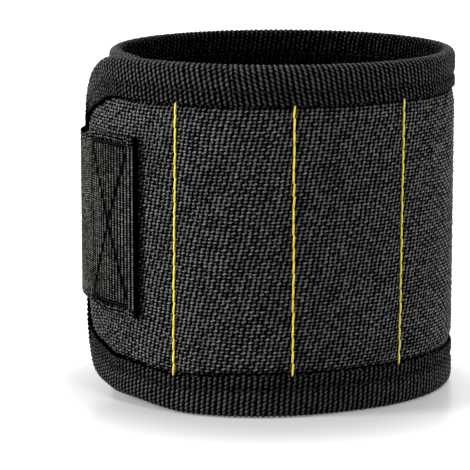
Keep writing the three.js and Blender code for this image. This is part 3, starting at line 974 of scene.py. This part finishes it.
def strapHalf(x):
    reach = np.clip(strap["tipCorner"] - (strapLength - x), 0, None)
    return strap["height"] / 2 - strap["tipCorner"] + np.sqrt(strap["tipCorner"] ** 2 - reach**2)


# The sewn end lies a little wider, and the strap sags a little where it goes round the side.
def strapDrape(x, z):
    side = above(x, *strap["sideStep"]) * (1 - above(x, *strap["freeStep"]))
    spread = 1 + strap["sewnSpread"] * (1 - above(x, *strap["sewnStep"])) - strap["sideNarrow"] * side
    return strap["middle"] + (z - strap["middle"]) * spread - strap["sideDrop"] * side


# Columns of beads, with a rough selvedge along both sides.
def webbingAt(x, z, fromSide):
    column = np.floor(x / strap["ribPitch"])
    sideways = x / strap["ribPitch"] - column - 0.5
    step = z / strap["dotPitch"] + webbing["looseStart"] * chance(column, 0, 4.0)
    dots = np.mod(step, 1.0) - 0.5
    loose = chance(column, np.floor(step), 6.0)
    ribs = dome(sideways / webbing["halfWidth"] + webbing["looseSide"] * loose, dots / webbing["halfLength"])
    ribs = ribs * (webbing["shade"][0] + webbing["shade"][1] * loose)
    row, knot = np.floor(fromSide / webbing["knotUp"]), np.floor(x / webbing["knotAlong"])
    up = fromSide / webbing["knotUp"] - row - 0.5 + webbing["knotLoose"] * chance(row, knot, 7.0)
    along = x / webbing["knotAlong"] - knot - 0.5 + webbing["knotLoose"] * chance(row, knot, 8.0)
    edge = dome(up / webbing["knotSize"], along / webbing["knotSize"])
    edge = edge * (webbing["knotShade"][0] + webbing["knotShade"][1] * chance(row, knot, 2.0))
    return np.where(fromSide < strap["selvedge"], edge, ribs)


# A flat tape with round edges: its section, and which of the rows lie on its front.
def tapeSection(half, thickness, fine):
    edge = np.linspace(-np.pi / 2, np.pi / 2, 7)[1:-1]
    r = thickness / 2
    up = np.linspace(-half + r, half - r, int(round(2 * half / fine)) + 1)
    back = np.linspace(half - r, -half + r, int(round(2 * half / tapeBackStep)) + 1)
    z = np.concatenate([up, half - r + r * np.cos(edge), back, -half + r - r * np.cos(edge)])
    y = np.concatenate([np.full(len(up), r), -r * np.sin(edge), np.full(len(back), -r), r * np.sin(edge)])
    front = np.arange(len(y) + 1) < len(up)
    front[-1] = True
    return np.append(y, y[0]), np.append(z, z[0]), front


# Box stitch with its two diagonals, drawn down into the strap
boxStitch = {
    "margin": 3.3,
    "boxLength": 18.5,
    "boxHeight": 40.0,
    "length": 3.4,
    "pitch": 2.5,
    "width": 0.36,
    "height": 0.34,
    "fullness": 0.5,
    "dive": 0.08,
    "depth": 0.5,  # below the face of the strap
    "furrow": 0.46,
    "furrowWidth": 0.42,
}


def boxLines():
    west, east = boxStitch["margin"], boxStitch["margin"] + boxStitch["boxLength"]
    low, high = (strap["middle"] + side * boxStitch["boxHeight"] / 2 for side in (-1, 1))
    corners = [(west, low), (east, low), (east, high), (west, high)]
    sides = [(corners[i], corners[(i + 1) % 4]) for i in range(4)]
    return sides + [(corners[0], corners[2]), (corners[1], corners[3])]


def furrowAt(x, z):
    best = np.full(np.broadcast(x, z).shape, np.inf)
    for (x0, z0), (x1, z1) in boxLines():
        span = np.array([x1 - x0, z1 - z0])
        share = np.clip(((x - x0) * span[0] + (z - z0) * span[1]) / (span @ span), 0, 1)
        best = np.minimum(best, np.hypot(x - x0 - share * span[0], z - z0 - share * span[1]))
    return bell(best, boxStitch["furrowWidth"])


def hemAt(x):
    return strap["hemRise"] * (1 - above(x, *strap["hemStep"]))


def makeStrap():
    half = strap["height"] / 2
    sectionY, sectionZ, front = tapeSection(half, strap["thickness"], strap["dotPitch"] / strap["dotSteps"])
    sewnX = np.arange(0, patchLength, strap["ribPitch"] / strap["ribSteps"])
    last = strapLength - strap["tipColumn"]
    freeX = np.arange(patchLength, last, strap["ribPitch"] / strap["freeRibSteps"])
    x = np.concatenate([sewnX, freeX, [strapLength]])
    columns, halves = x[:, None], strapHalf(x)[:, None]
    fromMiddle = sectionZ * (halves / half)
    z = fromMiddle + strap["middle"]
    # Furrow of the box stitch: sunk into the strap, with painted shade in it
    furrow = furrowAt(columns, z)
    relief = webbingAt(columns, z, halves - np.abs(fromMiddle))
    # Painted light on the front: brighter on the backs of the beads, painted shade on the strap's end
    bright = relief * above(columns, *strap["endPaintedShadeStep"]) * (1 - furrow)
    thinner, over = strap["endThin"]
    thin = 1 - thinner * (1 - smooth(np.minimum(columns, strapLength - columns) / over)) ** 2
    sink = strap["relief"] * (1 - relief) + boxStitch["furrow"] * furrow
    y = sectionY * thin + np.where(front, hemAt(columns) - sink, 0)
    flat = np.stack([overRows(x, z), y, strapDrape(columns, z)], -1)
    shade, wave = strap["backShade"]
    behind = shade + wave * np.cos(2 * np.pi * columns / strap["ribPitch"])
    # The back, with painted shade at the strap's end
    tops = np.where(front, bright, behind * above(columns, *strap["backPaintedShadeStep"]))
    piece = clothBody("strap_webbing", flat, flat[..., [0, 2]], tops, strapRoll, strapWebbing)
    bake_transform(piece)
    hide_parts("strap", "strap_patch")


def stitchLine(start, stop, pitch):
    start, stop = np.array(start, float), np.array(stop, float)
    far = np.linalg.norm(stop - start)
    count = max(1, int(round(far / pitch)))
    share = (np.arange(count) + 0.5) / count
    angle = math.atan2(stop[1] - start[1], stop[0] - start[0])
    return start + (stop - start) * share[:, None], np.full(count, angle)


def makeBoxStitch():
    rows = [stitchLine(start, stop, boxStitch["pitch"]) for start, stop in boxLines()]
    (x, z), angles = np.concatenate([r[0] for r in rows]).T, np.concatenate([r[1] for r in rows])
    y = strap["thickness"] / 2 + hemAt(x) - boxStitch["depth"]
    places, turns = np.stack([x, y, strapDrape(x, z)], 1), turnsInPlane(angles)
    piece = laidCopies(oneStitch(boxStitch), "box_stitches", places, turns, strapRoll, blackThread)
    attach(piece, "clasp")
    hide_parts("strap_box_stitch")


makeStrap()
makeBoxStitch()
print("strap made")

# Loop tape on the tail and hook tape under the strap
loopTape = {
    "height": 50.0,
    "tipMargin": 14.0,
    "seamMargin": 7.0,
    "inner": 2.4,
    "base": 0.35,
    "perLoop": 1.6,  # square millimetres
    "edge": (0.8, 0.9),  # of the first loop, along and up
    "spare": 1.0,  # without loops
    "loose": 0.45,
    "sunk": 0.08,
    "radius": 0.46,
    "thread": 0.13,
    "lean": 0.0,
    "seed": 7,
}
hookTape = {
    "height": 41.0,
    "pullAngle": 6.0,
    "base": 0.35,
    "pitch": 1.55,
    "alongEdge": (0.9, 0.7),  # of the first and the last hook
    "upEdge": (1.0, 0.8),
    "sunk": 0.05,
    "radius": 0.4,
    "thread": 0.12,
    "lean": 0.7,
    "turn": 0.12,
    "seed": 11,
}
tapeGround = {"step": 0.6, "relief": 0.06}
threadSizes = (0.75, 1.15)  # of loops and hooks


def plainTape(name, start, stop, height, inner, thickness, roll, material):
    step = tapeGround["step"]
    sectionY, sectionZ, front = tapeSection(height / 2, thickness, step)
    x = evenly(start, stop, step)
    z = np.broadcast_to(sectionZ + strap["middle"], (len(x), len(sectionZ)))
    cross = np.sin(2 * np.pi * x[:, None] / (4 * step)) * np.sin(2 * np.pi * z / (4 * step))
    sink = np.where(front, tapeGround["relief"] * (1 - cross), 0)
    flat = np.stack([overRows(x, z), sectionY + inner + thickness / 2 - sink, z], -1)
    # painted shade where the ground sinks between its cells
    return clothBody(name, flat, flat[..., [0, 2]], 0.5 + 0.5 * cross, roll, material)


# Half a ring of thread standing on the tape, closed at its two feet.
def oneLoop(tape):
    bpy.ops.object.select_all(action="DESELECT")
    bpy.ops.mesh.primitive_torus_add(major_radius=tape["radius"], minor_radius=tape["thread"],
                                     major_segments=10, minor_segments=3, rotation=(math.pi / 2, 0, 0))
    bpy.ops.object.transform_apply(location=True, rotation=True, scale=True)
    bpy.ops.object.mode_set(mode="EDIT")
    bpy.ops.mesh.select_all(action="SELECT")
    bpy.ops.mesh.bisect(plane_co=(0, 0, -0.1 * tape["radius"]), use_fill=True, clear_inner=True,
                        plane_no=(math.sin(tape["lean"]), 0, math.cos(tape["lean"])))
    bpy.ops.object.mode_set(mode="OBJECT")
    loop = bpy.context.object
    for v in loop.data.vertices:  # stands up along y, out from the tape
        v.co.y, v.co.z = v.co.z, -v.co.y
    return loop


def sizedTurns(angles, rng):
    return turnsInPlane(angles) * rng.uniform(*threadSizes, len(angles))[:, None, None]


def makeLoopTape():
    start, stop = loopTape["tipMargin"], seamAt[-1] - loopTape["seamMargin"]
    height, inner, base, loose = (loopTape[k] for k in ("height", "inner", "base", "loose"))
    piece = plainTape("loop_tape", start, stop, height, inner, base, bandRoll, loopGround)
    bendAt(piece)
    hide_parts("loop_tape_tail", "loop_tape_back")
    rng = np.random.default_rng(loopTape["seed"])
    spacing = math.sqrt(loopTape["perLoop"])
    columns, rows = (int((size - loopTape["spare"]) / spacing) for size in (stop - start, height))
    firstX, firstZ = start + loopTape["edge"][0], strap["middle"] - height / 2 + loopTape["edge"][1]
    x, z = np.meshgrid(np.arange(columns) * spacing + firstX, np.arange(rows) * spacing + firstZ)
    x = x.ravel() + rng.uniform(-loose, loose, x.size)
    z = z.ravel() + rng.uniform(-loose, loose, z.size)
    places = np.stack([x, np.full(x.size, inner + base - loopTape["sunk"]), z], 1)
    turns = sizedTurns(rng.uniform(0, 2 * np.pi, x.size), rng)
    pile = laidCopies(oneLoop(loopTape), "loop_pile", places, turns, bandRoll, pileThread)
    bendAt(pile)


def makeHookTape():
    start, stop = alongStrap(strap["dropAngle"]), alongStrap(strap["freeAngle"] - hookTape["pullAngle"])
    height, base, pitch = hookTape["height"], hookTape["base"], hookTape["pitch"]
    face = -strap["thickness"] / 2 - layers["gap"] - base
    piece = plainTape("hook_tape_ground", start, stop, height, face, base, strapRoll, hookGround)
    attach(piece, "strap")
    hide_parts("hook_tape")
    x = np.arange(start + hookTape["alongEdge"][0], stop - hookTape["alongEdge"][1], pitch)
    z = np.arange(-height / 2 + hookTape["upEdge"][0], height / 2 - hookTape["upEdge"][1], pitch)
    x, z = (grid.ravel() for grid in np.meshgrid(x, z + strap["middle"]))
    places = np.stack([x, np.full(x.size, face + hookTape["sunk"]), z], 1)
    rng = np.random.default_rng(hookTape["seed"])
    turns = sizedTurns(rng.normal(0, hookTape["turn"], x.size), rng)
    turns[:, 1] *= -1
    hooks = laidCopies(oneLoop(hookTape), "hooks", places, turns, strapRoll, hookPlastic)
    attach(hooks, "strap")


makeLoopTape()
makeHookTape()
print("hook and loop tapes made")

# Dark stitches in the groove of the binding, on both faces
edgeThread = {
    "length": 2.3,
    "pitch": 3.0,
    "width": 0.4,
    "height": 0.36,
    "fullness": 0.5,
    "dive": 0.0,
    "depth": 0.62,
    "lineStep": 0.05,
}


def makeEdgeStitches(fold):
    places, angles = [], []
    for run, inward, _ in rimRuns(fold).values():
        reach = (binding["grooveDepth"] - binding["foldDepth"]) * stretchAt(run[:, :1], run[:, 1:])
        line = run + inward * (binding["foldDepth"] + reach)
        dense, far = resampled(line, edgeThread["lineStep"])
        count = int(round(far[-1] / edgeThread["pitch"]))
        at = (np.arange(count) + 0.5) / count * far[-1]
        x, z = alongLine(at, far, dense)
        aheadX, aheadZ = alongLine(at, far, np.gradient(dense, far, axis=0))
        for level in (binding["outer"] - edgeThread["depth"], binding["inner"] + edgeThread["depth"]):
            places.append(np.stack([x, np.full(count, level), z], 1))
            angles.append(np.arctan2(aheadZ, aheadX))
    places, turns = np.concatenate(places), turnsInPlane(np.concatenate(angles))
    name = f"binding_stitches_{fold + 1}"
    piece = laidCopies(oneStitch(edgeThread), name, places, turns, bandRoll, greyThread)
    bendAt(piece)


for fold in range(foldCount):
    makeEdgeStitches(fold)

# Magnets keep their solids and take a nickel finish
nickelLook = {"colour": (0.62, 0.61, 0.58, 1), "grain": (900.0, 4.0, 0.5), "roughness": (0.2, 0.42)}
nickel, nickelTree, nickelShader = newMaterial("nickelPlate")
nickelPlace = addNode(nickelTree, "ShaderNodeTexCoord").outputs["Object"]
nickelGrain = noiseOn(nickelTree, nickelPlace, *nickelLook["grain"])
feed(nickelTree, nickelShader, {
    "Base Color": nickelLook["colour"],
    "Metallic": 1.0,
    "Roughness": remapped(nickelTree, nickelGrain, *nickelLook["roughness"]),
})
for name, node in frame["nodes"].items():
    if "magnet" in name:
        node.data.materials.clear()
        node.data.materials.append(nickel)
print("stitches and magnets finished")

# Floor, light and camera
stage = {
    "floorSize": 6.0,
    "pale": 0.45,
    "roughness": 0.3,
    "forward": 0.012,  # of the middle of the shadow
    "whiteFrom": 0.038,
    "whiteAt": 0.093,
    "nearGlow": 0.2,
    "skyFill": 0.045,
    "aim": 0.045,  # height that the lamps point at
}


# 1 where the camera sees it, directly, mirrored or through glass.
def seenMask(tree):
    path = addNode(tree, "ShaderNodeLightPath").outputs
    mirrored = calculate(tree, "MAXIMUM", path["Is Glossy Ray"], path["Is Transmission Ray"])
    return calculate(tree, "MAXIMUM", path["Is Camera Ray"], mirrored)


bpy.ops.object.select_all(action="DESELECT")
bpy.ops.mesh.primitive_plane_add(size=stage["floorSize"], location=(0, 0, 0))
floor = bpy.context.object
floor.name = "floor"
floorFinish, floorTree, floorShader = newMaterial("paleFloor")
floorPlace = addNode(floorTree, "ShaderNodeTexCoord").outputs["Object"]
floorMiddle = addNode(floorTree, "ShaderNodeVectorMath", {0: floorPlace, 1: (0, stage["forward"], 0)})
floorFar = addNode(floorTree, "ShaderNodeVectorMath", {0: floorMiddle.outputs[0]}, operation="LENGTH")
# The floor glows white for the camera away from the object and less near it, a painted shadow round the
# object besides the lamps' own shadow
floorFade = remapped(floorTree, floorFar.outputs["Value"], fromMin=stage["whiteFrom"],
                     fromMax=stage["whiteAt"], interpolation_type="SMOOTHSTEP")
floorGlow = remapped(floorTree, floorFade, stage["nearGlow"])
feed(floorTree, floorShader, {
    "Base Color": (stage["pale"],) * 3 + (1,),
    "Roughness": stage["roughness"],
    "Emission Color": (1, 1, 1, 1),
    "Emission Strength": calculate(floorTree, "MULTIPLY", floorGlow, seenMask(floorTree)),
})
floor.data.materials.append(floorFinish)

lights = {
    "leftBox": {"place": (-0.8, -0.22, 0.36), "size": (0.22, 0.5), "power": 12.4},
    "rightBox": {"place": (0.8, -0.12, 0.36), "size": (0.3, 0.6), "power": 3.2},
    "topBox": {"place": (0.0, 0.3, 1.0), "size": (0.9, 0.9), "power": 4.4},
    "frontBox": {"place": (0.3, -0.55, 0.95), "size": (0.25, 0.25), "power": 5.4},
}
for name, spec in lights.items():
    bpy.ops.object.light_add(type="AREA", location=spec["place"])
    lamp = bpy.context.object
    lamp.name = name
    lamp.data.shape = "RECTANGLE"
    lamp.data.size, lamp.data.size_y = spec["size"]
    lamp.data.energy = spec["power"]
    toward = -lamp.location
    toward.z += stage["aim"]
    lamp.rotation_euler = toward.to_track_quat("-Z", "Y").to_euler()

world = bpy.data.worlds.new("studio")
bpy.context.scene.world = world
world.use_nodes = True
sky = world.node_tree.nodes["Background"]
strength = remapped(world.node_tree, seenMask(world.node_tree), stage["skyFill"])
feed(world.node_tree, sky, {"Color": (1, 1, 1, 1), "Strength": strength})

view = {"back": 0.7215, "up": 0.16824, "down": 10.176, "left": 0.994, "focalPixels": 2718.13, "sensor": 36}
imagePixels = 470
bpy.ops.object.camera_add(location=(wristAxis[0] * mm, wristAxis[1] * mm - view["back"], view["up"]))
camera = bpy.context.object
camera.rotation_euler = (math.radians(90 - view["down"]), 0, math.radians(view["left"]))
camera.data.lens = view["focalPixels"] / imagePixels * view["sensor"]
camera.data.sensor_width = view["sensor"]
camera.data.clip_start, camera.data.clip_end = 0.01, 20
bpy.context.scene.camera = camera
bpy.context.scene.view_settings.view_transform = "Standard"

print("scene ready")
